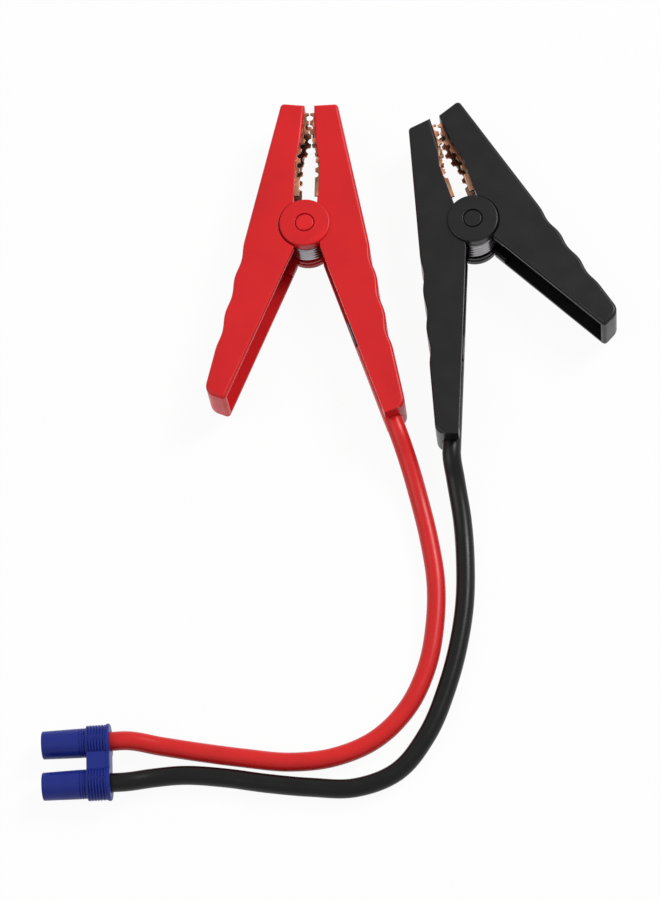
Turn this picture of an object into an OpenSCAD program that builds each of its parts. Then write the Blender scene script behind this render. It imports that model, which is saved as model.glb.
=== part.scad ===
/* [Clamp shells] */
// Thickness of a clamp over the two flat faces of its shells
shell_t = 14.6; // [14.2:0.1:18]
// Thickness of the side walls of a handle
wall = 1.5; // [1.2:0.1:1.8]
// Thickness of the side walls of a jaw, where they hold the copper
jaw_wall = 2.4; // [2:0.1:3]
// Thickness of the outer web that joins the side walls
web_t = 1.8; // [1.4:0.1:2.4]
// Thickness of the outer web of a jaw
jaw_web_t = 2; // [1.6:0.1:2.6]
// Thickness of the closed end of the cable handle
cable_end_t = 2.5; // [1.5:0.1:4]
// Thickness of the closed end of the lever
lever_end_t = 1.5; // [1:0.1:3]
// Thickness of the closed end of a jaw
tip_t = 1.3; // [1:0.1:2]
// Width of the end of a handle
end_w = 6.4; // [6:0.1:8]
// Radius of the outer corner at the end of the cable handle
cable_corner_r = 3; // [0.5:0.1:3.4]
// Radius of the outer corner at the end of the lever
lever_corner_r = 3.4; // [0.5:0.1:3.6]
// Width of the end of a jaw
tip_w = 6.8; // [6.4:0.1:8]
// Radius of the outer corner of a jaw
tip_corner_r = 1.2; // [0.5:0.1:2]
// Gap between the ends of the two jaws
tip_gap = 2.7; // [2:0.1:3.4]
// Gap between the two jaws at the root of the nose
nose_gap = 3.4; // [3:0.1:4]
// Length of the narrow nose of a jaw
nose_len = 8; // [6:0.5:10]
// Width of the hollow between the two jaws
hollow_w = 7; // [6.6:0.1:8]
// How far that hollow reaches above the pivot
hollow_len = 19.5; // [16:0.5:21]
// Inner edge of the cable handle, sideways from the pivot
cable_inset = 1.7; // [1:0.1:2.2]
// Inner edge of the lever, sideways from the pivot
lever_inset = 0; // [-0.5:0.1:0.5]

/* [Finger grip] */
// Number of dips along the outer edge of a handle
grip_count = 3; // [1:1:3]
// Distance from one dip to the next
grip_pitch = 11.2; // [8:0.1:12]
// The same on the black lever, which is shorter
black_lever_pitch = 9.7; // [8:0.1:12]
// Depth of a dip
grip_depth = 0.6; // [0:0.1:0.8]
// Where the dips start, below the pivot
grip_start = 5.5; // [0:0.5:8]
// The same on the black lever
black_lever_start = 2.5; // [0:0.5:8]

/* [Pivot] */
// Radius of the raised disc at the pivot
disc_r = 7.2; // [7.2:0.1:8]
// Height of the disc above the face of the shell
disc_proud = 0.8; // [0.6:0.1:1.2]
// Thickness of an inner ear of the lever
ear_t = 1.2; // [0.8:0.1:1.3]
// Running gap between an ear and the disc that it turns beside
ear_gap = 0.2; // [0.1:0.05:0.3]
// Running gap round a pivot disc
disc_gap = 0.3; // [0.2:0.05:0.4]
// How far the ears reach into the side walls of the lever
ear_root = 4; // [3:0.5:5]
// Radius of the pivot pin
pin_r = 2; // [1.5:0.1:2.4]
// Radial clearance of the pin in the ears
pin_play = 0.05; // [0.02:0.01:0.1]
// Radius of the cap over an end of the pin
cap_r = 2.7; // [2.5:0.1:3.5]
// Thickness of the cap
cap_t = 0.9; // [0.6:0.1:1.2]
// Gap round the cap
cap_gap = 0.1; // [0.05:0.05:0.2]
// Gap between the end of the pin and the cap
pin_end_gap = 0.1; // [0.05:0.05:0.3]

/* [Spring] */
// Diameter of the spring wire
wire_d = 1.5; // [1.2:0.1:1.6]
// Outer radius of the coil
coil_r = 7; // [6.6:0.1:7.2]
// Whole turns of the coil
coil_turns = 4; // [2:1:4]
// Radial gap between the coil and the hub in it
hub_gap = 0.45; // [0.3:0.05:0.8]
// Gap between the two hubs
hub_split = 1; // [0.4:0.1:3]
// How far below the pivot the legs of the spring reach the webs
leg_drop = 20; // [14:0.5:22]
// Gap between the spring and the wall beside it
leg_gap = 0.1; // [0.05:0.05:0.15]

/* [Copper jaws] */
// Thickness of the copper sheet
sheet_t = 0.8; // [0.6:0.1:1]
// Gap between the copper and the walls of its jaw
jaw_seat = 0.1; // [0.05:0.05:0.2]
// Gap between the teeth of the two jaws
bite_gap = 0.3; // [0.2:0.05:0.6]
// Length of the stretch where the teeth meet
bite_len = 6; // [4:0.5:7]
// Gap between the edges of the copper below the teeth that meet
throat_w = 4.4; // [4.2:0.1:5]
// Length over which the gap widens
flare_len = 6.5; // [4:0.5:7]
// Lower end of the copper, above the pivot
jaw_foot = 9.8; // [9.4:0.1:10.4]
// Distance from one tooth to the next
tooth_pitch = 3; // [2:0.1:4]
// Radius of the notch between two teeth
notch_r = 0.95; // [0.6:0.05:1]
// Length of the plain edge below the teeth
plain_len = 3; // [2:0.5:6]
// Width of the tail strip that leads to the crimp
tail_w = 4.4; // [3.5:0.1:4.6]

/* [Cables] */
// Diameter of the insulation
cable_d = 5.2; // [4.8:0.1:5.3]
// Diameter of the bundle of strands
core_d = 3.2; // [2.4:0.1:3.4]
// Centre of the cable, out from the inner edge of its handle
cable_seat = 2.2; // [2:0.1:3]
// Radial gap between the insulation and what it passes through
cable_gap = 0.1; // [0.05:0.05:0.15]
// How far the insulation reaches into the handle
cable_tuck = 24; // [22:0.5:26]
// Length of the crimp barrel
crimp_len = 7; // [5:0.5:8]
// Wall of the crimp barrel
crimp_wall = 0.7; // [0.5:0.1:0.8]
// Length of bare strands between the insulation and the crimp
bare_len = 1; // [0.5:0.1:2]
// Radial gap between the strands and a barrel or cup
core_gap = 0.1; // [0.05:0.05:0.15]

/* [Plug] */
// Distance between the two poles
pole_pitch = 11.6; // [11:0.1:13]
// Radius of a plug barrel at its mouth
barrel_r = 3.8; // [3.7:0.1:4]
// Radius of a plug barrel at its root
barrel_root_r = 4; // [3.9:0.1:4.2]
// Length of a plug barrel
barrel_len = 12.2; // [11.5:0.1:15]
// Radius of the gripping body round each pole
body_r = 4.65; // [4.4:0.05:4.85]
// Length of the gripping body
body_len = 5.4; // [4.6:0.1:8]
// Radius of the end flange round each pole
flange_r = 4.9; // [4.8:0.1:5.4]
// Thickness of the end flange
flange_t = 1; // [0.6:0.1:1.5]
// Thickness of the bridge between the poles
bridge_t = 6; // [5:0.1:7]
// Number of grip grooves round each pole
groove_count = 5; // [3:1:6]
// Width of a grip groove
groove_w = 0.4; // [0.2:0.05:0.6]
// Depth of a grip groove
groove_depth = 0.3; // [0.1:0.05:0.4]
// Length of the lip at the mouth of a barrel
lip_len = 0.8; // [0.5:0.1:1.2]
// Radius of the hole in that lip
lip_r = 2.75; // [2.65:0.05:2.85]
// Outer radius of a contact socket
contact_r = 3; // [2.9:0.05:3.05]
// Radial gap between a contact socket and the plug
contact_gap = 0.05; // [0.02:0.01:0.08]
// Radius of the bore of a contact socket
socket_r = 2.5; // [2.3:0.05:2.6]
// Depth of the bore of a contact socket
socket_len = 9; // [7:0.5:9.5]
// Outer radius of the solder cup
cup_r = 2.2; // [2:0.05:2.5]
// Depth of the solder cup
cup_len = 4; // [3:0.5:4.5]
// How far the insulation reaches into the plug
plug_tuck = 2.5; // [2:0.1:3]
// Length of bare strands between the insulation and the solder cup
plug_bare = 0.5; // [0.3:0.1:1]

/* [Red clamp] */
// Pivot to the end of the jaws
red_jaw_len = 37.5; // [34:0.5:40]
// Outer corner of the cable jaw, above its inner corner
red_cable_rise = 0.4; // [-1.5:0.1:1.5]
// Outer corner of the lever jaw, above its inner corner
red_lever_rise = 0.6; // [-1.5:0.1:3]
// Length of the cable handle below the pivot
red_cable_len = 62.5; // [60:0.5:66]
// Angle between the jaws and the inner edge of the cable handle
red_cable_angle = 21; // [19:0.5:23]
// Length of the lever below the pivot
red_lever_len = 57.5; // [48:0.5:60]
// Angle between the jaws and the inner edge of the lever
red_lever_angle = 21; // [20:0.5:30]

/* [Black clamp] */
// Pivot to the end of the jaws
black_jaw_len = 34.5; // [34:0.5:40]
// Outer corner of the cable jaw, above its inner corner
black_cable_rise = -1; // [-1.5:0.1:1.5]
// Outer corner of the lever jaw, above its inner corner
black_lever_rise = 2.6; // [-1.5:0.1:3]
// Length of the cable handle below the pivot
black_cable_len = 65; // [60:0.5:66]
// Angle between the jaws and the inner edge of the cable handle
black_cable_angle = 20.5; // [19:0.5:23]
// Length of the lever below the pivot
black_lever_len = 49.5; // [48:0.5:60]
// Angle between the jaws and the inner edge of the lever
black_lever_angle = 29; // [20:0.5:30]
// Pivot of the black clamp, to the right of the red one
black_x = 47.5; // [44:0.5:60]
// Pivot of the black clamp, in front of the red one
black_y = 1; // [-5:0.5:5]
// Turn of the black clamp to the left
black_turn = 19.5; // [15:0.5:22]

/* [Hidden] */
$fn = 64;
// A cutter reaches this far past what it cuts
over = 1;
// Wider than any part of a clamp
wide = 20;

// Routes of the free cables, from clear of the handle to clear of the plug. The cables lie on
// the ground with their centres at z = 2.7.
red_route = [
    [30, -67.5, 5.5], [33.5, -79, 2.8], [36.5, -91, 2.7], [38.5, -103, 2.7], [38.5, -115, 2.7],
    [36.5, -127.5, 2.7], [31.5, -139, 2.7], [23, -148, 2.7], [12, -153, 2.7], [0, -154.5, 2.7],
    [-12, -153.5, 2.7], [-24, -152, 2.7], [-35, -150.5, 3.2]
];
black_route = [
    [43.5, -73.5, 5], [45.5, -85, 2.8], [46.5, -97, 2.7], [46.5, -109, 2.7], [45, -121, 2.7],
    [42, -133.5, 2.7], [37, -146.5, 2.7], [29, -157, 2.7], [18, -161.5, 2.7], [6, -161.5, 2.7],
    [-6, -160.5, 2.7], [-18, -159, 2.7], [-29, -158.5, 2.9], [-37, -159.5, 3.5]
];
// Centre of the plug's rear face, and its turn to the left
plug_at = [-48.3, -155.5];
plug_turn = 4;

// Heights. The clamps and the plug lie on z = 0.
clamp_t = shell_t + 2 * disc_proud;
mid_z = clamp_t / 2;
disc_t = disc_proud + wall;
ear_low = disc_t + ear_gap;
ear_top = ear_low + ear_t;
jaw_room = shell_t - 2 * jaw_wall;
copper_t = jaw_room - 2 * jaw_seat;

cable_r = cable_d / 2;
core_r = core_d / 2;
cable_u = cable_inset + cable_seat;
crimp_r = core_r + core_gap + crimp_wall;
// Where the room for the copper ends and the handle's wider room begins
room_split = jaw_foot - jaw_seat;

// An arm is [jaw length, corner rise, handle angle, handle length, inner edge, corner radius,
// end thickness, dip pitch, dip start], with the handle on the right of the jaws' centre line.
red_cable_arm = [red_jaw_len, red_cable_rise, red_cable_angle, red_cable_len,
    cable_inset, cable_corner_r, cable_end_t, grip_pitch, grip_start];
red_lever_arm = [red_jaw_len, red_lever_rise, red_lever_angle, red_lever_len,
    lever_inset, lever_corner_r, lever_end_t, grip_pitch, grip_start];
black_cable_arm = [black_jaw_len, black_cable_rise, black_cable_angle, black_cable_len,
    cable_inset, cable_corner_r, cable_end_t, grip_pitch, grip_start];
black_lever_arm = [black_jaw_len, black_lever_rise, black_lever_angle, black_lever_len,
    lever_inset, lever_corner_r, lever_end_t, black_lever_pitch, black_lever_start];

function jaw_len(arm) = arm[0];
function corner_rise(arm) = arm[1];
function handle_angle(arm) = arm[2];
function handle_len(arm) = arm[3];
function inner_edge(arm) = arm[4];
function corner_r(arm) = arm[5];
function end_wall(arm) = arm[6];
function dip_pitch(arm) = arm[7];
function dip_start(arm) = arm[8];

function unit(p) = p / norm(p);
// Where the line through p along d crosses the line through q along e
function meet(p, d, q, e) = p + d * (cross(q - p, e) / cross(d, e));

// A place on a handle: u out from the pivot, v down along the inner edge
function on_arm(arm, u, v) =
    let(a = handle_angle(arm)) [u * cos(a) + v * sin(a), u * sin(a) - v * cos(a)];

// The straight line that the outer edge of an arm follows
function tip_inner(arm) = [tip_gap / 2, jaw_len(arm)];
function tip_outer(arm) = tip_inner(arm) + [tip_w, corner_rise(arm)];
function end_outer(arm) = on_arm(arm, inner_edge(arm) + end_w, handle_len(arm));
function outer_dir(arm) = unit(end_outer(arm) - tip_outer(arm));
// A point of that line moved inwards by d, at the height y
function outer_at(arm, y, d) =
    let(w = outer_dir(arm)) meet(tip_outer(arm) + d * [w[1], -w[0]], w, [0, y], [1, 0]);

// The same line where the handle's end wall, or the tip's wall, begins
function outer_at_end(arm, d) =
    meet(outer_at(arm, 0, d), outer_dir(arm),
        on_arm(arm, 0, handle_len(arm) - end_wall(arm)), on_arm(arm, 1, 0));
function outer_at_tip(arm, d, back) =
    meet(outer_at(arm, 0, d), outer_dir(arm),
        tip_inner(arm) - [0, back], tip_outer(arm) - tip_inner(arm));

// A point under the tip's end, at the distance x from the jaws' centre line
function under_tip(arm, x, back) =
    meet(tip_inner(arm) - [0, back], tip_outer(arm) - tip_inner(arm), [x, 0], [0, 1]);

// The finger dips, one point every step of a dip, from 0 to 1 across it
grip_steps = 10;
function grips(arm) =
    let(room = norm(end_outer(arm) - outer_at(arm, -dip_start(arm), 0)) - corner_r(arm))
    min(grip_count, floor(room / dip_pitch(arm)));
function dip(t) = grip_depth * (1 - cos(360 * t)) / 2;

// Points of the round corner at p, between the directions a and b away from it
function round_corner(p, a, b, r, steps = 6) =
    let(half = acos(a * b) / 2,
        c = p + unit(a + b) * r / sin(half),
        from = p + a * r / tan(half) - c,
        turn = cross(a, b) > 0 ? -1 : 1)
    [for (i = [0:steps])
        let(t = turn * (180 - 2 * half) * i / steps)
        c + [from[0] * cos(t) - from[1] * sin(t), from[0] * sin(t) + from[1] * cos(t)]];

function arm_outline(arm) =
    let(w = outer_dir(arm), start = outer_at(arm, -dip_start(arm), 0),
        along_tip = unit(tip_inner(arm) - tip_outer(arm)),
        along_end = -on_arm(arm, 1, 0))
    concat(
        [tip_inner(arm)],
        round_corner(tip_outer(arm), along_tip, w, tip_corner_r),
        [for (i = [0:grips(arm) * grip_steps])
            let(t = i / grip_steps) start + w * t * dip_pitch(arm) + [w[1], -w[0]] * dip(t)],
        round_corner(end_outer(arm), -w, along_end, corner_r(arm)),
        [on_arm(arm, inner_edge(arm), handle_len(arm)),
         on_arm(arm, inner_edge(arm), disc_r + over),
         [hollow_w / 2, disc_r - over],
         [hollow_w / 2, hollow_len],
         [nose_gap / 2, jaw_len(arm) - nose_len]]);

// Room in a handle and in a jaw, open towards the other arm
module handle_room(arm) {
    polygon([
        [-wide, room_split], outer_at(arm, room_split, web_t), outer_at_end(arm, web_t),
        on_arm(arm, -wide, handle_len(arm) - end_wall(arm))
    ]);
}
module jaw_room(arm) {
    polygon([
        [-wide, room_split - over], outer_at(arm, room_split - over, jaw_web_t),
        outer_at_tip(arm, jaw_web_t, tip_t), outer_at_tip(arm, wide, tip_t)
    ]);
}

// A flat piece from z = low to z = high, and the same piece at both sides of the clamp
module slab(low, high) {
    translate([0, 0, low]) linear_extrude(high - low) children();
}
module both_sides() {
    children();
    translate([0, 0, clamp_t]) mirror([0, 0, 1]) children();
}

module arm_shell(arm) {
    difference() {
        slab(disc_proud, clamp_t - disc_proud) polygon(arm_outline(arm));
        slab(disc_t, clamp_t - disc_t) handle_room(arm);
        slab(disc_proud + jaw_wall, clamp_t - disc_proud - jaw_wall) jaw_room(arm);
    }
}

module cable_handle(arm, tint) {
    color(tint) difference() {
        union() {
            arm_shell(arm);
            both_sides() cylinder(r = disc_r, h = disc_t);
        }
        translate([0, 0, -over]) cylinder(r = pin_r, h = clamp_t + 2 * over);
        both_sides() translate([0, 0, -over]) cylinder(r = cap_r + cap_gap, h = cap_t + over);
        cable_slot(arm);
    }
}

// The slot for the cable, open towards the lever
module cable_slot(arm) {
    slot_r = cable_r + cable_gap;
    slot_len = cable_tuck + over;
    start = on_arm(arm, cable_u, handle_len(arm) - cable_tuck);
    translate([start[0], start[1], mid_z]) rotate(handle_angle(arm)) {
        rotate([90, 0, 0]) cylinder(r = slot_r, h = slot_len);
        translate([-wide, -slot_len, -slot_r]) cube([wide, slot_len, 2 * slot_r]);
    }
}

module lever_handle(arm, tint) {
    hub_r = coil_r - wire_d - hub_gap;
    clear_r = disc_r + disc_gap;
    color(tint) mirror([1, 0, 0]) difference() {
        union() {
            lever_shell(arm, clear_r);
            both_sides() {
                translate([0, 0, ear_low]) cylinder(r = disc_r - ear_gap, h = ear_t);
                translate([0, 0, ear_low]) cylinder(r = hub_r, h = mid_z - hub_split / 2 - ear_low);
            }
        }
        cylinder(r = pin_r + pin_play, h = clamp_t);
    }
}
// The lever's shell, thick round the pivot down to its ears, and cut away round the discs
module lever_shell(arm, clear_r) {
    difference() {
        slab(disc_proud, clamp_t - disc_proud) polygon(arm_outline(arm));
        slab(ear_top, clamp_t - ear_top) handle_room(arm);
        both_sides() slab(disc_t, ear_top + over) difference() {
            handle_room(arm);
            circle(clear_r + ear_root);
        }
        slab(disc_proud + jaw_wall, clamp_t - disc_proud - jaw_wall) jaw_room(arm);
        both_sides() cylinder(r = clear_r, h = ear_low);
    }
}

module pivot_pin() {
    color("silver") translate([0, 0, cap_t + pin_end_gap])
        cylinder(r = pin_r, h = clamp_t - 2 * (cap_t + pin_end_gap));
}
module pin_caps(tint) {
    color(tint) both_sides() cylinder(r = cap_r, h = cap_t);
}

// A tube of radius r and so many sides, swept along points that never run straight up
function sweep_rings(p, r, sides) =
    [for (i = [0:len(p) - 1])
        let(t = unit(p[min(i + 1, len(p) - 1)] - p[max(i - 1, 0)]),
            s = unit(cross(t, [0, 0, 1])), n = cross(s, t))
        for (j = [0:sides - 1]) p[i] + r * (cos(360 * j / sides) * s + sin(360 * j / sides) * n)];
module sweep(p, r, sides) {
    last = len(p) - 1;
    polyhedron(
        sweep_rings(p, r, sides),
        concat(
            [[for (j = [sides - 1:-1:0]) j]],
            [for (i = [0:last - 1], j = [0:sides - 1])
                let(k = (j + 1) % sides)
                [i * sides + k, (i + 1) * sides + k, (i + 1) * sides + j, i * sides + j]],
            [[for (j = [0:sides - 1]) last * sides + j]]));
}

// The coil turns to the left from the cable handle's side to the lever's. Each leg leaves it
// along a tangent and ends beside the web of its handle.
coil_steps = 16;
function leg_end(arm) =
    outer_at(arm, -leg_drop, web_t + leg_gap + wire_d / 2);
function leg_angle(arm) =
    let(e = leg_end(arm), r = coil_r - wire_d / 2) atan2(e[1], e[0]) + acos(r / norm(e));
function spring_points(cable_arm, lever_arm) =
    let(r = coil_r - wire_d / 2,
        start = leg_angle(cable_arm), stop = 180 - leg_angle(lever_arm) + 360 * coil_turns,
        low = ear_top + leg_gap + wire_d / 2, high = clamp_t - low,
        e = leg_end(cable_arm), f = leg_end(lever_arm), n = round(coil_turns * coil_steps))
    concat(
        [[e[0], e[1], high]],
        [for (i = [0:n])
            let(t = start + (stop - start) * i / n)
            [r * cos(t), r * sin(t), high + (low - high) * i / n]],
        [[-f[0], f[1], low]]);
module torsion_spring(cable_arm, lever_arm) {
    color("gainsboro") sweep(spring_points(cable_arm, lever_arm), wire_d / 2, 8);
}

// Copper jaw: a channel of sheet with notched edges
module copper_channel(arm) {
    low = mid_z - copper_t / 2;
    tip = under_tip(arm, bite_gap / 2, tip_t + jaw_seat);
    top = tip[1];
    back = jaw_web_t + jaw_seat;
    notches = floor((top - jaw_foot - plain_len) / tooth_pitch);
    difference() {
        slab(low, low + copper_t) difference() {
            polygon([
                outer_at(arm, jaw_foot, back),
                outer_at_tip(arm, back, tip_t + jaw_seat),
                tip,
                [bite_gap / 2, top - bite_len],
                [throat_w / 2, top - bite_len - flare_len],
                [throat_w / 2, jaw_foot]
            ]);
            for (i = [0:notches - 1])
                let(y = top - (i + 0.5) * tooth_pitch)
                translate([bite_edge(top - y), y]) circle(notch_r);
        }
        slab(low + sheet_t, low + copper_t - sheet_t) polygon([
            outer_at(arm, jaw_foot - over, back + sheet_t),
            outer_at(arm, jaw_len(arm) + 2 * over, back + sheet_t),
            [-over, jaw_len(arm) + 2 * over],
            [-over, jaw_foot - over]
        ]);
    }
}
// Edge of the copper, sideways from the jaws' centre line, s below its upper end
function bite_edge(s) =
    let(half = throat_w / 2 - bite_gap / 2)
    bite_gap / 2 + half * min(1, max(0, (s - bite_len) / flare_len));

function crimp_end(arm) = handle_len(arm) - cable_tuck - bare_len;
module along_cable(arm, v) {
    p = on_arm(arm, cable_u, v);
    translate([p[0], p[1], mid_z]) rotate(handle_angle(arm)) rotate([90, 0, 0]) children();
}

module cable_jaw(arm) {
    foot = outer_at(arm, jaw_foot + over, jaw_web_t + jaw_seat);
    start = crimp_end(arm) - crimp_len;
    tail_u = cable_u + core_r + core_gap + crimp_wall / 2;
    crimp = on_arm(arm, tail_u, start + crimp_wall);
    crimp_far = on_arm(arm, tail_u, crimp_end(arm) - crimp_wall);
    side = on_arm(arm, sheet_t, 0);
    color("peru") {
        copper_channel(arm);
        difference() {
            union() {
                slab(mid_z - tail_w / 2, mid_z + tail_w / 2) polygon([
                    foot, crimp + side, crimp_far + side, crimp_far, crimp, foot - [sheet_t, 0]
                ]);
                along_cable(arm, start) cylinder(r = crimp_r, h = crimp_len);
            }
            along_cable(arm, start - over) cylinder(r = core_r + core_gap, h = crimp_len + 2 * over);
        }
    }
}
module lever_jaw(arm) {
    color("peru") mirror([1, 0, 0]) copper_channel(arm);
}

module clamp_conductor(arm) {
    start = crimp_end(arm) - crimp_len;
    color("chocolate") along_cable(arm, start)
        cylinder(r = core_r, h = handle_len(arm) - cable_tuck - start);
}

// The black clamp is the mirror image of the red one, turned and moved to its place
module place_black() {
    translate([black_x, black_y, 0]) rotate(black_turn) mirror([1, 0, 0]) children();
}
function black_point(p) =
    let(c = cos(black_turn), s = sin(black_turn))
    [black_x - p[0] * c - p[1] * s, black_y - p[0] * s + p[1] * c];

// The plug's own frame: its rear face at x = 0, its mouths towards -X
plug_len = flange_t + body_len + barrel_len;
plug_z = flange_r;
module place_plug() {
    translate([plug_at[0], plug_at[1], plug_z]) rotate(plug_turn) children();
}
function plug_point(x, y) =
    let(c = cos(plug_turn), s = sin(plug_turn))
    [plug_at[0] + x * c - y * s, plug_at[1] + x * s + y * c, plug_z];
red_pole = pole_pitch / 2;
black_pole = -red_pole;

// A cable: straight out of its handle, along its route, and straight into the plug
run_out = 3;
run_in = 4;
function high(p) = [p[0], p[1], mid_z];
function cable_stops(exits, route, pole) =
    concat([for (p = exits) high(p)], route, [for (x = [run_in, 0, -plug_tuck]) plug_point(x, pole)]);
function exit_points(arm) =
    [for (v = [-cable_tuck, -cable_tuck / 2, 0, run_out]) on_arm(arm, cable_u, handle_len(arm) + v)];
// Direction of the smooth curve through the stops at stop i
function heading(p, i) =
    let(a = i > 0 ? p[i] - p[i - 1] : p[1] - p[0],
        b = i < len(p) - 1 ? p[i + 1] - p[i] : a)
    unit(unit(a) * norm(b) + unit(b) * norm(a));
// The stops with one more point of the curve between each two
function smooth_line(p) =
    concat(
        [for (i = [0:len(p) - 2])
            let(chord = norm(p[i + 1] - p[i]))
            each [p[i], (p[i] + p[i + 1]) / 2 + (heading(p, i) - heading(p, i + 1)) * chord / 8]],
        [p[len(p) - 1]]);
cable_sides = 12;

module red_cable() {
    color("firebrick") sweep(
        smooth_line(cable_stops(exit_points(red_cable_arm), red_route, red_pole)),
        cable_r, cable_sides);
}
module black_cable() {
    color("dimgray") sweep(
        smooth_line(cable_stops([for (p = exit_points(black_cable_arm)) black_point(p)],
            black_route, black_pole)),
        cable_r, cable_sides);
}

// A round piece of the plug along the pole at y, from x0 to x1. It is turned so that the seam of
// its wall lies off the upright and the level plane through its axis.
seam_turn = 20;
module on_pole(y, x0, x1, r0, r1) {
    translate([x0, y, 0]) rotate([0, 90, 0]) rotate(seam_turn)
        cylinder(r1 = r0, r2 = r1, h = x1 - x0);
}
contact_front = -plug_len + lip_len;
contact_back = -plug_tuck - plug_bare;
cup_floor = contact_back - cup_len;
socket_floor = contact_front + socket_len;
cup_front = (cup_floor + socket_floor) / 2;

module plug_housing() {
    body_front = -flange_t - body_len;
    groove_pitch = body_len / groove_count;
    color("slateblue") place_plug() difference() {
        union() {
            for (y = [red_pole, black_pole]) {
                on_pole(y, -plug_len, body_front + over, barrel_r, barrel_root_r);
                on_pole(y, body_front, -flange_t, body_r, body_r);
                on_pole(y, -flange_t, 0, flange_r, flange_r);
            }
            translate([body_front, black_pole, -bridge_t / 2])
                cube([-body_front, pole_pitch, bridge_t]);
        }
        for (y = [red_pole, black_pole]) {
            on_pole(y, -plug_len - over, over, lip_r, lip_r);
            on_pole(y, contact_front, contact_back, contact_r + contact_gap, contact_r + contact_gap);
            for (i = [0:groove_count - 1])
                let(x = body_front + (i + 0.5) * groove_pitch - groove_w / 2)
                translate([0, y, 0]) groove(x);
        }
    }
}
// A groove round a pole, on the side away from the other pole
module groove(x) {
    difference() {
        on_pole(0, x, x + groove_w, body_r + over, body_r + over);
        on_pole(0, x - over, x + groove_w + over, body_r - groove_depth, body_r - groove_depth);
    }
}

module contact_socket(pole) {
    color("goldenrod") place_plug() difference() {
        union() {
            on_pole(pole, contact_front, cup_front, contact_r, contact_r);
            on_pole(pole, cup_front - over, contact_back, cup_r, cup_r);
        }
        on_pole(pole, contact_front - over, socket_floor, socket_r, socket_r);
        on_pole(pole, cup_floor, contact_back + over, core_r + core_gap, core_r + core_gap);
    }
}
module plug_conductor(pole) {
    color("chocolate") place_plug()
        on_pole(pole, cup_floor + core_gap, -plug_tuck, core_r, core_r);
}

red = "crimson";
black = "dimgray";

cable_handle(red_cable_arm, red);  // red_cable_handle
lever_handle(red_lever_arm, red);  // red_lever_handle
cable_jaw(red_cable_arm);  // red_cable_jaw
lever_jaw(red_lever_arm);  // red_lever_jaw
pivot_pin();  // red_pivot_pin
pin_caps(red);  // red_pin_caps
torsion_spring(red_cable_arm, red_lever_arm);  // red_torsion_spring
red_cable();
clamp_conductor(red_cable_arm);  // red_clamp_conductor
plug_conductor(red_pole);  // red_plug_conductor
contact_socket(red_pole);  // red_contact_socket
place_black() cable_handle(black_cable_arm, black);  // black_cable_handle
place_black() lever_handle(black_lever_arm, black);  // black_lever_handle
place_black() cable_jaw(black_cable_arm);  // black_cable_jaw
place_black() lever_jaw(black_lever_arm);  // black_lever_jaw
place_black() pivot_pin();  // black_pivot_pin
place_black() pin_caps(black);  // black_pin_caps
place_black() torsion_spring(black_cable_arm, black_lever_arm);  // black_torsion_spring
black_cable();
place_black() clamp_conductor(black_cable_arm);  // black_clamp_conductor
plug_conductor(black_pole);  // black_plug_conductor
contact_socket(black_pole);  // black_contact_socket
plug_housing();
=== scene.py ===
"""Looks of the clamp lead set: camera, cables, dressed shells, springs, jaws and plug round the CAD frame."""
import math

import bmesh
import bpy
from mathutils import Matrix, Vector


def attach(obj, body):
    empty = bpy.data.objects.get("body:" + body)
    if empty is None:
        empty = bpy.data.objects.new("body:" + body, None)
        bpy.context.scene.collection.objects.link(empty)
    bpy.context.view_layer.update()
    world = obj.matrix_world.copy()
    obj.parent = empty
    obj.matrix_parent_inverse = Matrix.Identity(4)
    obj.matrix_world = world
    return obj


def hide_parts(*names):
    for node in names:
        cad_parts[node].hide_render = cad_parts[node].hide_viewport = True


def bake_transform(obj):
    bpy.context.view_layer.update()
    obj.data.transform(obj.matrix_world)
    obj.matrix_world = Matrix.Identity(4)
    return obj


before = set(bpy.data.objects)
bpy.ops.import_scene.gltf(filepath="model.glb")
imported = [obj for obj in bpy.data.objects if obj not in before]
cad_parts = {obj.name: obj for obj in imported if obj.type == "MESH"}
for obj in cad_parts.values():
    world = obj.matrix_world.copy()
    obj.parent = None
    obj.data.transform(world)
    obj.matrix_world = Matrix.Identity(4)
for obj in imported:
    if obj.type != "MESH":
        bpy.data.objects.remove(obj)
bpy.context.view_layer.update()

MM = 0.001  # lengths are written in mm, unless a comment says metres

# ---------------------------------------------------------------- sizes shared with the CAD, in mm and degrees
MID_Z = 8.1  # middle plane of the clamps
SHELL_T = 14.6  # thickness of a clamp over its flat faces
DISC_R = 7.2
CABLE_R = 2.6
CABLE_U = 3.9  # the cable's line, out from the handle's inner edge
CABLE_TUCK = 24  # length of cable inside the handle
RUN_OUT = 3  # straight run below the handle
RUN_IN = 4  # straight run behind the plug
PLUG_TUCK = 2.5  # length of cable inside the plug
WIRE_R = 0.75
COIL_MEAN_R = 6.25
COIL_TURNS = 4
PLUG_AT = (-48.3, -155.5, 4.9)
PLUG_TURN = 4
POLE = {"red": 5.8, "black": -5.8}

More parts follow.
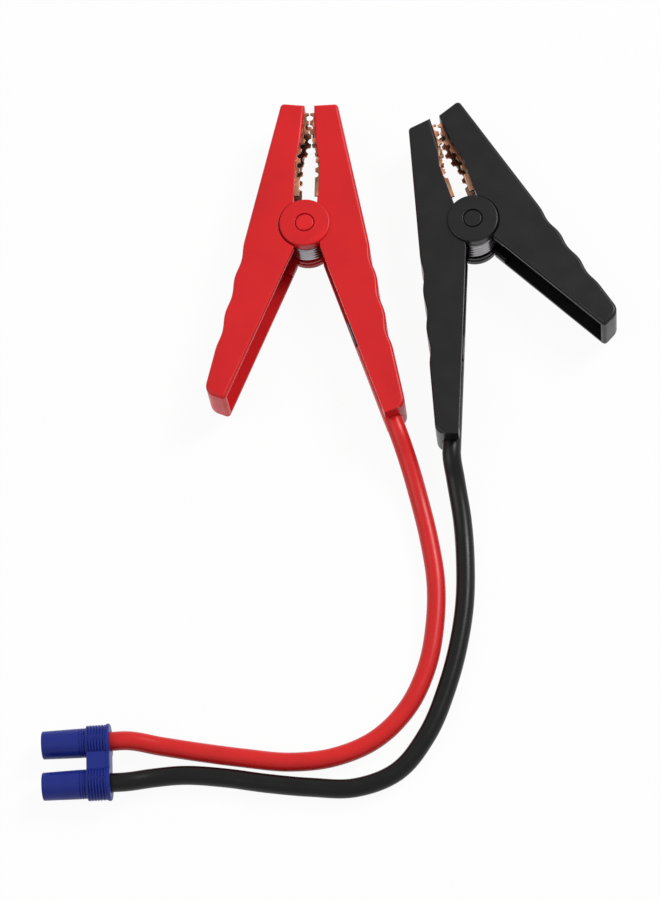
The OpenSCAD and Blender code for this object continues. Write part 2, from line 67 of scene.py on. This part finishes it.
CLAMPS = {
    "red": {"pivot": (0, 0), "turn": 0, "side": 1, "cable_angle": 21, "cable_len": 62.5},
    "black": {"pivot": (47.5, 1), "turn": 19.5, "side": -1, "cable_angle": 20.5, "cable_len": 65},
}
ROUTES = {
    "red": [
        (30, -67.5, 5.5), (33.5, -79, 2.8), (36.5, -91, 2.7), (38.5, -103, 2.7), (38.5, -115, 2.7),
        (36.5, -127.5, 2.7), (31.5, -139, 2.7), (23, -148, 2.7), (12, -153, 2.7), (0, -154.5, 2.7),
        (-12, -153.5, 2.7), (-24, -152, 2.7), (-35, -150.5, 3.2),
    ],
    "black": [
        (43.5, -73.5, 5), (45.5, -85, 2.8), (46.5, -97, 2.7), (46.5, -109, 2.7), (45, -121, 2.7),
        (42, -133.5, 2.7), (37, -146.5, 2.7), (29, -157, 2.7), (18, -161.5, 2.7), (6, -161.5, 2.7),
        (-6, -160.5, 2.7), (-18, -159, 2.7), (-29, -158.5, 2.9), (-37, -159.5, 3.5),
    ],
}


# ---------------------------------------------------------------- places
def clamp_matrix(clamp):
    """From a clamp's own frame, with its cable handle on the right, to the part's frame, in metres."""
    side = Matrix.Diagonal((clamp["side"], 1, 1, 1))
    turn = Matrix.Rotation(math.radians(clamp["turn"]), 4, "Z")
    x, y = clamp["pivot"]
    return Matrix.Translation((x * MM, y * MM, 0)) @ turn @ side


def on_cable_arm(clamp, u, v, z):
    """A place on the cable handle: u out from the pivot, v down along its inner edge, in metres."""
    a = math.radians(clamp["cable_angle"])
    x, y = u * math.cos(a) + v * math.sin(a), u * math.sin(a) - v * math.cos(a)
    return clamp_matrix(clamp) @ Vector((x * MM, y * MM, z * MM))


plug_matrix = Matrix.Translation(Vector(PLUG_AT) * MM) @ Matrix.Rotation(math.radians(PLUG_TURN), 4, "Z")


def link(obj):
    bpy.context.scene.collection.objects.link(obj)
    return obj


# ---------------------------------------------------------------- camera
PHOTO_H = 900  # pixels
MM_PER_PIXEL = 0.28
ELEVATION = math.radians(68)
ROLL = math.radians(12)
DISTANCE = 1.0  # metres
SENSOR = 36
AIM = Vector((7.894, -62.821, 0)) * MM


def make_camera():
    """The photo's camera, swung and rolled so that the X axis lies level in the picture."""
    swing = math.atan(math.tan(ROLL) / math.sin(ELEVATION))
    back = Vector((math.cos(ELEVATION) * math.sin(swing), -math.cos(ELEVATION) * math.cos(swing),
                   math.sin(ELEVATION)))
    level = Vector((math.cos(swing), math.sin(swing), 0))
    right = (level * math.cos(ROLL) - back.cross(level) * math.sin(ROLL)).normalized()
    up = back.cross(right)
    data = bpy.data.cameras.new("camera")
    data.sensor_width = SENSOR
    data.lens = SENSOR * DISTANCE / (PHOTO_H * MM_PER_PIXEL * MM)
    camera = bpy.data.objects.new("camera", data)
    facing = Matrix((right, up, back)).transposed().to_4x4()
    camera.matrix_world = Matrix.Translation(AIM + back * DISTANCE) @ facing
    bpy.context.scene.camera = link(camera)


make_camera()


# ---------------------------------------------------------------- materials
SATIN = 0.25  # specular level of the plastics and the insulation
SPREAD = (0.3, 0.7)  # where nearly all values of a noise texture lie

# A noise is (scale, detail). A grain is (noise, strength, height in metres).
PLASTIC_FLOW, PLASTIC_SMEARS = (60, 4), (180, 3)
PLASTIC_GRAIN = ((2600, 2), 0.12, 0.00006)
SLEEVE_FLOW, SLEEVE_SMEARS = (90, 3), (260, 3)
SLEEVE_GRAIN = ((900, 4), 0.10, 0.00008)
COPPER_PATCHES = (240, 5)
COPPER_GRAIN = ((1400, 3), 0.15, 0.00005)
METAL_DETAIL = 4
METAL_GRAIN = (4, 0.08, 0.00004)  # times finer than the marks, strength, height in metres

# Pointiness from which an edge starts to look worn, and at which it is fully so.
WORN_PLASTIC, WORN_COPPER = (0.52, 0.60), (0.52, 0.62)
WORN_TINT, WORN_COPPER_SHARE = 1.8, 0.7
PAINTED_SHADE_SPAN = (-0.006, 0.004)  # Y in metres over which painted shade on the copper fades, from full inside a handle to none in the jaws


def linear(r, g, b):
    """An sRGB colour of 0 to 255 as Blender's linear colour."""
    def one(c):
        c /= 255
        return c / 12.92 if c <= 0.04045 else ((c + 0.055) / 1.055) ** 2.4
    return (one(r), one(g), one(b), 1)


class Paint:
    """One material and short ways to add nodes to it."""

    def __init__(self, name, roughness, metallic=0.0):
        self.material = bpy.data.materials.new(name)
        self.material.use_nodes = True
        self.nodes = self.material.node_tree.nodes
        self.links = self.material.node_tree.links
        self.shader = self.nodes["Principled BSDF"]
        self.shader.inputs["Roughness"].default_value = roughness
        self.shader.inputs["Metallic"].default_value = metallic
        self.place = self.nodes.new("ShaderNodeTexCoord").outputs["Object"]

    def noise(self, scale, detail):
        node = self.nodes.new("ShaderNodeTexNoise")
        node.inputs["Scale"].default_value = scale
        node.inputs["Detail"].default_value = detail
        self.links.new(self.place, node.inputs["Vector"])
        return node.outputs["Fac"]

    def pointiness(self):
        return self.nodes.new("ShaderNodeNewGeometry").outputs["Pointiness"]

    def ramp(self, value, stops):
        """The colour at a value, from (value, colour) stops."""
        node = self.nodes.new("ShaderNodeValToRGB")
        node.color_ramp.elements[0].position, node.color_ramp.elements[0].color = stops[0]
        node.color_ramp.elements[1].position, node.color_ramp.elements[1].color = stops[-1]
        for position, colour in stops[1:-1]:
            node.color_ramp.elements.new(position).color = colour
        self.links.new(value, node.inputs["Fac"])
        return node.outputs["Color"]

    def range(self, value, span, to_low, to_high):
        """The value's span mapped to another one."""
        node = self.nodes.new("ShaderNodeMapRange")
        node.inputs["From Min"].default_value, node.inputs["From Max"].default_value = span
        node.inputs["To Min"].default_value, node.inputs["To Max"].default_value = to_low, to_high
        self.links.new(value, node.inputs["Value"])
        return node.outputs["Result"]

    def mix(self, factor, below, colour):
        """A plain colour over what is below it, by a factor."""
        node = self.nodes.new("ShaderNodeMix")
        node.data_type = "RGBA"
        sockets = {i.identifier: i for i in node.inputs}
        self.links.new(factor, sockets["Factor_Float"])
        self.links.new(below, sockets["A_Color"])
        sockets["B_Color"].default_value = colour
        return next(o for o in node.outputs if o.identifier == "Result_Color")

    def to(self, socket, value):
        self.links.new(value, self.shader.inputs[socket])

    def bump(self, noise, strength, distance):
        node = self.nodes.new("ShaderNodeBump")
        node.inputs["Strength"].default_value = strength
        node.inputs["Distance"].default_value = distance
        self.links.new(self.noise(*noise), node.inputs["Height"])
        self.to("Normal", node.outputs["Normal"])


def shade(colour, factor):
    return tuple(min(1, c * factor) for c in colour[:3]) + (1,)


def mottled(paint, noise, colour, dark, light):
    """The colour in soft patches, from the dark to the light share of it."""
    low, high = SPREAD
    return paint.ramp(paint.noise(*noise), [(low, shade(colour, dark)), (high, shade(colour, light))])


def moulded(name, colour, roughness, edge):
    """Moulded plastic: a fine eroded grain, faint flow mottling and slightly worn edges."""
    paint = Paint(name, roughness)
    paint.shader.inputs["Specular IOR Level"].default_value = SATIN
    body = mottled(paint, PLASTIC_FLOW, colour, 0.93, 1.06)
    worn = paint.range(paint.pointiness(), WORN_PLASTIC, 0, edge)
    smears = paint.range(paint.noise(*PLASTIC_SMEARS), SPREAD, roughness - 0.05, roughness + 0.06)
    paint.to("Base Color", paint.mix(worn, body, shade(colour, WORN_TINT)))
    paint.to("Roughness", smears)
    paint.bump(*PLASTIC_GRAIN)
    return paint.material


def insulation(name, colour, roughness):
    """Silicone sleeve: satin, faintly mottled, with a fine grain."""
    paint = Paint(name, roughness)
    paint.shader.inputs["Specular IOR Level"].default_value = SATIN
    smears = paint.range(paint.noise(*SLEEVE_SMEARS), SPREAD, roughness - 0.05, roughness + 0.07)
    paint.to("Base Color", mottled(paint, SLEEVE_FLOW, colour, 0.94, 1.06))
    paint.to("Roughness", smears)
    paint.bump(*SLEEVE_GRAIN)
    return paint.material


def copper_sheet(name):
    """Stamped copper: bright where it rubs, brown in patches, and with painted shade, dark brown where it lies
    inside a handle.
    """
    paint = Paint(name, 0.3, 1.0)
    patches = paint.noise(*COPPER_PATCHES)
    body = paint.ramp(patches, [
        (0.36, linear(54, 20, 8)), (0.52, linear(138, 66, 40)), (0.66, linear(232, 158, 120)),
    ])
    rubbed = paint.range(paint.pointiness(), WORN_COPPER, 0, WORN_COPPER_SHARE)
    split = paint.nodes.new("ShaderNodeSeparateXYZ")
    paint.links.new(paint.place, split.inputs["Vector"])
    # Painted shade: the copper turns dark brown from the jaws down into the handle, standing in for the
    # handle's shadow.
    painted_shade = paint.range(split.outputs["Y"], PAINTED_SHADE_SPAN, 1, 0)
    edged = paint.mix(rubbed, body, linear(252, 206, 172))
    paint.to("Base Color", paint.mix(painted_shade, edged, linear(34, 14, 10)))
    paint.to("Roughness", paint.range(patches, (0.35, 0.65), 0.45, 0.2))
    paint.bump(*COPPER_GRAIN)
    return paint.material


def metal(name, dark, light, roughness, scale):
    """Drawn or turned metal with fine marks."""
    paint = Paint(name, roughness, 1.0)
    marks = paint.noise(scale, METAL_DETAIL)
    finer, strength, height = METAL_GRAIN
    paint.to("Base Color", paint.ramp(marks, list(zip(SPREAD, (dark, light)))))
    paint.to("Roughness", paint.range(marks, SPREAD, roughness - 0.06, roughness + 0.1))
    paint.bump((scale * finer, 2), strength, height)
    return paint.material


LOOKS = {
    "red_plastic": (moulded, linear(207, 29, 33), 0.34, 0.25),
    "black_plastic": (moulded, linear(22, 22, 22), 0.32, 0.25),
    "blue_plastic": (moulded, linear(22, 38, 123), 0.38, 0.2),
    "red_insulation": (insulation, linear(212, 36, 36), 0.30),
    "black_insulation": (insulation, linear(7, 7, 7), 0.30),
    "copper": (copper_sheet,),
    "strands": (metal, linear(150, 78, 44), linear(226, 150, 108), 0.35, 700),
    "contact": (metal, linear(168, 128, 60), linear(224, 188, 112), 0.25, 300),
    "steel": (metal, linear(142, 138, 142), linear(178, 174, 178), 0.20, 120),
}
MATERIALS = {name: make(name, *look) for name, (make, *look) in LOOKS.items()}


# ---------------------------------------------------------------- cables
LINE_STEP, CABLE_SIDES = 1.5, 32


def heading(points, i):
    """Direction of the smooth curve through the points at point i."""
    before = points[i] - points[i - 1] if i > 0 else points[1] - points[0]
    after = points[i + 1] - points[i] if i < len(points) - 1 else before
    return (before.normalized() * after.length + after.normalized() * before.length).normalized()


def smooth_line(points, step):
    """The smooth curve through the points, with a point about every step."""
    line = []
    for i in range(len(points) - 1):
        a, b = points[i], points[i + 1]
        chord = (b - a).length
        u, v = heading(points, i) * chord, heading(points, i + 1) * chord
        count = max(1, round(chord / step))
        for k in range(count):
            t = k / count
            line.append(a * (2 * t**3 - 3 * t**2 + 1) + u * (t**3 - 2 * t**2 + t)
                        + b * (3 * t**2 - 2 * t**3) + v * (t**3 - t**2))
    return line + [points[-1]]


def new_object(name, mesh, material):
    obj = link(bpy.data.objects.new(name, mesh))
    obj.data.materials.append(material)
    return obj


def tube_mesh(name, line, radius, sides):
    """A round tube along a line, closed at both ends."""
    bm = bmesh.new()
    rings = []
    for i, p in enumerate(line):
        along = (line[min(i + 1, len(line) - 1)] - line[max(i - 1, 0)]).normalized()
        side = along.cross(Vector((0, 0, 1))).normalized()
        up = side.cross(along)
        rings.append([
            bm.verts.new(p + radius * (math.cos(a) * side + math.sin(a) * up))
            for a in (2 * math.pi * j / sides for j in range(sides))
        ])
    for low, high in zip(rings, rings[1:]):
        for j in range(sides):
            k = (j + 1) % sides
            bm.faces.new((low[j], high[j], high[k], low[k]))
    bm.faces.new(rings[0])
    bm.faces.new(reversed(rings[-1]))
    bmesh.ops.recalc_face_normals(bm, faces=bm.faces)
    for face in bm.faces:
        face.smooth = len(face.verts) == 4
    mesh = bpy.data.meshes.new(name)
    bm.to_mesh(mesh)
    bm.free()
    return mesh


def cable_stops(colour):
    """The points that a cable runs through, from inside its handle to inside the plug."""
    clamp = CLAMPS[colour]
    inside = [on_cable_arm(clamp, CABLE_U, clamp["cable_len"] + v, MID_Z)
              for v in (-CABLE_TUCK, -CABLE_TUCK / 2, 0, RUN_OUT)]
    free = [Vector(p) * MM for p in ROUTES[colour]]
    plug = [plug_matrix @ Vector((x * MM, POLE[colour] * MM, 0)) for x in (RUN_IN, 0, -PLUG_TUCK)]
    return inside + free + plug


def cable_line(colour):
    return smooth_line(cable_stops(colour), LINE_STEP * MM)


def make_cable(colour):
    cable = new_object(f"{colour}_sleeve",
                       tube_mesh(f"{colour}_sleeve", cable_line(colour), CABLE_R * MM, CABLE_SIDES),
                       MATERIALS[f"{colour}_insulation"])
    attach(cable, "root")
    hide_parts(f"{colour}_cable")


for colour in CLAMPS:
    make_cable(colour)


# ---------------------------------------------------------------- rounded copies of the CAD solids
LEVEL, UPRIGHT = 0.9, 0.1  # least and greatest |z| of a normal
SHARP, STEEP, ONE_PLANE = math.radians(30), math.radians(60), math.radians(0.6)
CAD_WELD, BEVEL_WELD = 0.002, 0.001
HEIGHT_SLACK, PLUMB_SLACK, DISC_SLACK = 0.05, 0.01, 0.02
BELOW_PIVOT = 30

# A rounding is (radius, segments). The corner is rounder than the outline that runs round it, or the
# outline folds over there.
CORNER, OUTLINE, DISC_EDGE = (1.1, 4), (1.0, 5), (0.5, 4)
RIM, RIM_LEN = (0.2, 2), 0.4
SHEET, CAP, CONTACT_EDGE = (0.08, 2), (0.35, 3), (0.1, 2)
CAP_SCALE = 0.94


def join_level_faces(bm):
    """Join neighbouring faces that lie in one plane."""
    bmesh.ops.dissolve_limit(bm, angle_limit=ONE_PLANE, verts=bm.verts, edges=bm.edges)


def clean_copy(node):
    """The node's mesh as a closed bmesh with large flat faces."""
    bm = bmesh.new()
    bm.from_mesh(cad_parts[node].data)
    bmesh.ops.remove_doubles(bm, verts=bm.verts, dist=CAD_WELD * MM)
    join_level_faces(bm)
    bmesh.ops.recalc_face_normals(bm, faces=bm.faces)
    return bm


def face_height(face):
    heights = [v.co.z for v in face.verts]
    return max(heights) - min(heights)


def is_sharp(edge):
    return len(edge.link_faces) == 2 and edge.calc_face_angle(0) > SHARP


def sharp_edges(bm, shortest=0.0):
    return [e for e in bm.edges if is_sharp(e) and e.calc_length() > shortest * MM]


def rim_edges(bm, shortest=0.0):
    """Edges that take a small rounding without folding: steep and convex ones."""
    return [e for e in sharp_edges(bm, shortest) if e.is_convex and e.calc_face_angle(0) > STEEP]


def on_outline(edge):
    """True where a level face of a shell meets a wall that is as tall as the shell."""
    level = [f for f in edge.link_faces if abs(f.normal.z) > LEVEL]
    tall = [f for f in edge.link_faces
            if abs(f.normal.z) < UPRIGHT and face_height(f) > (SHELL_T - HEIGHT_SLACK) * MM]
    return len(level) == 1 and len(tall) == 1


def on_corner(edge, pivot):
    """True for the corner at a handle's end that runs straight up through its whole thickness."""
    a, b = (v.co for v in edge.verts)
    return (edge.is_convex and a.y < pivot.y - BELOW_PIVOT * MM and (b - a).xy.length < PLUMB_SLACK * MM
            and abs(b.z - a.z) > (SHELL_T - HEIGHT_SLACK) * MM)


def on_disc(edge, pivot):
    """True round the outer edge of a raised pivot disc."""
    return all(abs((v.co.xy - pivot).length - DISC_R * MM) < DISC_SLACK * MM
               and abs(abs(v.co.z - MID_Z * MM) - MID_Z * MM) < DISC_SLACK * MM for v in edge.verts)


def bevel(bm, edges, radius, segments):
    bmesh.ops.bevel(bm, geom=edges, offset=radius * MM, offset_type="OFFSET", segments=segments,
                    profile=0.5, affect="EDGES", clamp_overlap=False)


def round_edges(bm, edges, rounding):
    bevel(bm, edges, *rounding)
    bmesh.ops.remove_doubles(bm, verts=bm.verts, dist=BEVEL_WELD * MM)


def finished(name, bm, slot, body, *nodes):
    """The bmesh as a smooth-shaded piece that rides on a body and stands for CAD nodes."""
    for face in bm.faces:
        face.smooth = True
    for edge in bm.edges:
        edge.smooth = not is_sharp(edge)
    mesh = bpy.data.meshes.new(name)
    bm.to_mesh(mesh)
    bm.free()
    piece = new_object(name, mesh, MATERIALS[slot])
    normals = piece.modifiers.new("normals", "WEIGHTED_NORMAL")
    normals.keep_sharp = True
    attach(piece, body)
    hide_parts(*nodes)
    return piece


def make_shell(colour, arm, body):
    bm = clean_copy(f"{colour}_{arm}_handle")
    pivot = Vector(CLAMPS[colour]["pivot"]) * MM
    round_edges(bm, [e for e in sharp_edges(bm) if on_corner(e, pivot)], CORNER)
    round_edges(bm, [e for e in sharp_edges(bm) if on_outline(e)], OUTLINE)
    if arm == "cable":
        round_edges(bm, [e for e in sharp_edges(bm) if on_disc(e, pivot)], DISC_EDGE)
    join_level_faces(bm)
    round_edges(bm, rim_edges(bm, RIM_LEN), RIM)
    finished(f"{colour}_{arm}_shell", bm, f"{colour}_plastic", body, f"{colour}_{arm}_handle")


def make_rounded(name, node, slot, body, rounding):
    bm = clean_copy(node)
    round_edges(bm, rim_edges(bm), rounding)
    finished(name, bm, slot, body, node)


def make_caps(colour):
    """The caps over the pin, a little narrower than their seats, so that a dark ring shows."""
    bm = clean_copy(f"{colour}_pin_caps")
    pivot = Vector(CLAMPS[colour]["pivot"]) * MM
    for v in bm.verts:
        v.co.xy = pivot + (v.co.xy - pivot) * CAP_SCALE
    round_edges(bm, sharp_edges(bm), CAP)
    finished(f"{colour}_caps", bm, f"{colour}_plastic", "root", f"{colour}_pin_caps")


for colour in CLAMPS:
    lever = f"{colour}_lever"
    make_shell(colour, "cable", "root")
    make_shell(colour, "lever", lever)
    make_rounded(f"{colour}_cable_side_teeth", f"{colour}_cable_jaw", "copper", "root", SHEET)
    make_rounded(f"{colour}_lever_side_teeth", f"{colour}_lever_jaw", "copper", lever, SHEET)
    make_caps(colour)
    make_rounded(f"{colour}_socket_contact", f"{colour}_contact_socket", "contact", "root", CONTACT_EDGE)
    for node, slot in ((f"{colour}_pivot_pin", "steel"), (f"{colour}_clamp_conductor", "strands"),
                       (f"{colour}_plug_conductor", "strands")):
        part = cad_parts[node]
        part.data.materials.clear()
        part.data.materials.append(MATERIALS[slot])


# ---------------------------------------------------------------- plug
PLUG_LEN, BODY_FRONT, FLANGE_FRONT = 18.6, -6.4, -1.0
BARREL_R, BARREL_ROOT_R, BODY_R, FLANGE_R = 3.8, 4.0, 4.65, 4.9
LIP_R, LIP_LEN, SEAT_R, SEAT_BACK = 2.75, 0.8, 3.05, -3.0
MOUTH_R, STEP_R, CHAMFER = 0.25, 0.15, 0.3
MOUTH_STEPS, POLE_SIDES, BLOCK_SEGMENTS = 5, 96, 3
COLLAR_GROOVES = (-8.2, -7.5, -6.9)
RING_GROOVES, RING_PITCH = 6, 0.8
COLLAR_GROOVE, RING_GROOVE = (0.24, 0.16), (0.4, 0.28)  # width and depth
GROOVE_STEPS, GROOVE_FULLNESS = (0, 0.15, 0.35, 0.5, 0.65, 0.85, 1), 0.7
BRIDGE_T, BRIDGE_W, BRIDGE_EDGE_R = 6.0, 5.4, 0.25
BRIDGE_LAP = 0.3  # how far the bridge reaches into its flange
BRIDGE_RIM, BRIDGE_RIM_BACK, BRIDGE_RIM_EDGE_R = 0.25, -0.02, 0.2  # the flange between the poles


def groove(x, r, width, depth):
    """Points of one rounded groove in a turned outline, at x on the radius r."""
    return [(x + width * (t - 0.5), r - depth * math.sin(math.pi * t) ** GROOVE_FULLNESS)
            for t in GROOVE_STEPS]


def barrel_outline():
    """Closed outline (x, r) of a turned pole: barrel, grooved body, flange and the bore for its contact."""
    mouth = -PLUG_LEN
    points = [(mouth, BARREL_R - MOUTH_R)]
    points += [(mouth + MOUTH_R * (1 - math.cos(a)), BARREL_R - MOUTH_R * (1 - math.sin(a)))
               for a in (math.pi / 2 * i / MOUTH_STEPS for i in range(1, MOUTH_STEPS + 1))]
    for x in COLLAR_GROOVES:
        points += groove(x, BARREL_ROOT_R, *COLLAR_GROOVE)
    points += [(BODY_FRONT, BARREL_ROOT_R), (BODY_FRONT, BODY_R - STEP_R), (BODY_FRONT + STEP_R, BODY_R)]
    first = (BODY_FRONT + FLANGE_FRONT - RING_PITCH * (RING_GROOVES - 1)) / 2
    for i in range(RING_GROOVES):
        points += groove(first + i * RING_PITCH, BODY_R, *RING_GROOVE)
    points += [(FLANGE_FRONT, BODY_R), (FLANGE_FRONT + STEP_R, FLANGE_R), (-CHAMFER, FLANGE_R),
               (0, FLANGE_R - CHAMFER), (0, LIP_R + STEP_R), (-STEP_R, LIP_R),
               (SEAT_BACK, LIP_R), (SEAT_BACK, SEAT_R), (mouth + LIP_LEN, SEAT_R), (mouth + LIP_LEN, LIP_R),
               (mouth + STEP_R, LIP_R), (mouth, LIP_R + STEP_R)]
    return points


def turn(bm, outline, pole):
    """Turn a closed outline round a pole of the plug."""
    rings = []
    for j in range(POLE_SIDES):
        a = 2 * math.pi * j / POLE_SIDES
        rings.append([bm.verts.new(plug_matrix @ (Vector((x, pole + r * math.cos(a), r * math.sin(a))) * MM))
                      for x, r in outline])
    for j in range(POLE_SIDES):
        here, there = rings[j], rings[(j + 1) % POLE_SIDES]
        for i in range(len(outline)):
            k = (i + 1) % len(outline)
            bm.faces.new((here[i], here[k], there[k], there[i]))


def block(bm, low, high, radius):
    """A block in the plug's frame with rounded edges."""
    made = bmesh.ops.create_cube(bm, size=1)["verts"]
    size = [(h - l) * MM for l, h in zip(low, high)]
    middle = Vector([(h + l) / 2 * MM for l, h in zip(low, high)])
    for v in made:
        v.co = plug_matrix @ (Vector([c * s for c, s in zip(v.co, size)]) + middle)
    edges = {e for v in made for e in v.link_edges}
    bevel(bm, list(edges), radius, BLOCK_SEGMENTS)


def make_plug():
    """Two turned poles, the bridge between them and the flange's part of it."""
    bm = bmesh.new()
    for pole in POLE.values():
        turn(bm, barrel_outline(), pole)
    half, wide = BRIDGE_T / 2, BRIDGE_W / 2
    block(bm, (BODY_FRONT, -wide, -half), (FLANGE_FRONT + BRIDGE_LAP, wide, half), BRIDGE_EDGE_R)
    block(bm, (FLANGE_FRONT, -wide, -half - BRIDGE_RIM), (BRIDGE_RIM_BACK, wide, half + BRIDGE_RIM),
          BRIDGE_RIM_EDGE_R)
    bmesh.ops.recalc_face_normals(bm, faces=bm.faces)
    return finished("plug_body", bm, "blue_plastic", "root", "plug_housing")


make_plug()


# ---------------------------------------------------------------- springs
WIRE_SIDES, STEPS_A_TURN = 16, 48


def leg_ends(colour):
    """Ends of the spring's two legs in the clamp's own frame, from the CAD spring."""
    into = clamp_matrix(CLAMPS[colour]).inverted()
    cad_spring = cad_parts[f"{colour}_torsion_spring"].data
    points = {tuple(round(c, 6) for c in into @ v.co) for v in cad_spring.vertices}
    ends = []
    for side in (1, -1):
        ring = [Vector(p) for p in points if p[1] < -2 * COIL_MEAN_R * MM and p[0] * side > 0]
        ends.append(sum(ring, Vector()) / len(ring))
    return ends


def on_coil(angle, z):
    radius = COIL_MEAN_R * MM
    return Vector((radius * math.cos(angle), radius * math.sin(angle), z))


def touch_angle(leg, side):
    """Angle at which a leg meets the coil, counted from the X axis on the side where the leg ends."""
    return math.atan2(leg.y, side * leg.x) + math.acos(COIL_MEAN_R * MM / leg.xy.length)


def make_spring(colour):
    """A coil round the hubs, turning down from the cable handle's leg to the lever's."""
    start, stop = leg_ends(colour)
    first = touch_angle(start, 1)
    last = math.pi - touch_angle(stop, -1) + 2 * math.pi * COIL_TURNS
    steps = STEPS_A_TURN * COIL_TURNS
    line = [start.copy(), start.lerp(on_coil(first, start.z), 0.5)]
    for i in range(steps + 1):
        t = i / steps
        line.append(on_coil(first + (last - first) * t, start.z + (stop.z - start.z) * t))
    line += [line[-1].lerp(stop, 0.5), stop.copy()]
    place = clamp_matrix(CLAMPS[colour])
    mesh = tube_mesh(f"{colour}_coil", [place @ p for p in line], WIRE_R * MM, WIRE_SIDES)
    spring = new_object(f"{colour}_coil", mesh, MATERIALS["steel"])
    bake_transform(spring)
    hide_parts(f"{colour}_torsion_spring")


for colour in CLAMPS:
    make_spring(colour)


# ---------------------------------------------------------------- floor and light
WHITE = 1.0
FLOOR_GLOW, FLOOR_TINT = 0.94, 0.85
FLOOR_HALF, FLOOR_DROP = 3, 0.0002  # metres
WORLD_LIGHT = 0.45
# A lamp is (place in metres, size in metres, watts).
LAMPS = {
    "key": ((0.7, 0.5, 0.9), 0.5, 10.8),
    "fill": ((-0.8, -0.3, 0.9), 0.9, 3.9),
}


def mixed_tree(owner, output):
    """The owner's node tree, emptied, and a mix shader that leads to its output."""
    owner.use_nodes = True
    nodes, links = owner.node_tree.nodes, owner.node_tree.links
    nodes.clear()
    mix = nodes.new("ShaderNodeMixShader")
    links.new(mix.outputs[0], nodes.new(output).inputs["Surface"])
    return nodes, links, mix


def background_ray(nodes, links):
    """1 for a ray that shows the background: from the camera, or reflected or passed on by the part."""
    seen = nodes.new("ShaderNodeLightPath")
    total = seen.outputs["Is Camera Ray"]
    for name in ("Is Glossy Ray", "Is Transmission Ray"):
        most = nodes.new("ShaderNodeMath")
        most.operation = "MAXIMUM"
        links.new(total, most.inputs[0])
        links.new(seen.outputs[name], most.inputs[1])
        total = most.outputs[0]
    return total


def make_floor():
    """A white floor that the camera sees as white with a soft shadow."""
    bm = bmesh.new()
    bmesh.ops.create_grid(bm, x_segments=1, y_segments=1, size=FLOOR_HALF)
    mesh = bpy.data.meshes.new("floor")
    bm.to_mesh(mesh)
    bm.free()
    material = bpy.data.materials.new("floor")
    nodes, links, mix = mixed_tree(material, "ShaderNodeOutputMaterial")
    diffuse = nodes.new("ShaderNodeBsdfDiffuse")
    diffuse.inputs["Color"].default_value = (FLOOR_TINT, FLOOR_TINT, FLOOR_TINT, 1)
    glow = nodes.new("ShaderNodeEmission")
    glow.inputs["Strength"].default_value = WHITE
    share = nodes.new("ShaderNodeMath")
    share.operation = "MULTIPLY"
    share.inputs[1].default_value = FLOOR_GLOW
    links.new(background_ray(nodes, links), share.inputs[0])
    links.new(share.outputs[0], mix.inputs[0])
    links.new(diffuse.outputs[0], mix.inputs[1])
    links.new(glow.outputs[0], mix.inputs[2])
    floor = new_object("floor", mesh, material)
    floor.location.z = -FLOOR_DROP


def make_world():
    """A soft light from all sides that shows as white where it is seen."""
    world = bpy.data.worlds.new("world")
    bpy.context.scene.world = world
    nodes, links, mix = mixed_tree(world, "ShaderNodeOutputWorld")
    white = nodes.new("ShaderNodeBackground")
    white.inputs["Strength"].default_value = WHITE
    soft = nodes.new("ShaderNodeBackground")
    soft.inputs["Strength"].default_value = WORLD_LIGHT
    links.new(background_ray(nodes, links), mix.inputs[0])
    links.new(soft.outputs[0], mix.inputs[1])
    links.new(white.outputs[0], mix.inputs[2])


def area_light(name, place, size, power):
    """A square soft light that points at the middle of the part."""
    data = bpy.data.lights.new(name, "AREA")
    data.energy = power
    data.size = size
    lamp = link(bpy.data.objects.new(name, data))
    lamp.location = place
    lamp.rotation_euler = (AIM - Vector(place)).to_track_quat("-Z", "Y").to_euler()


make_floor()
make_world()
for name, lamp in LAMPS.items():
    area_light(name, *lamp)

bpy.context.scene.view_settings.view_transform = "Standard"
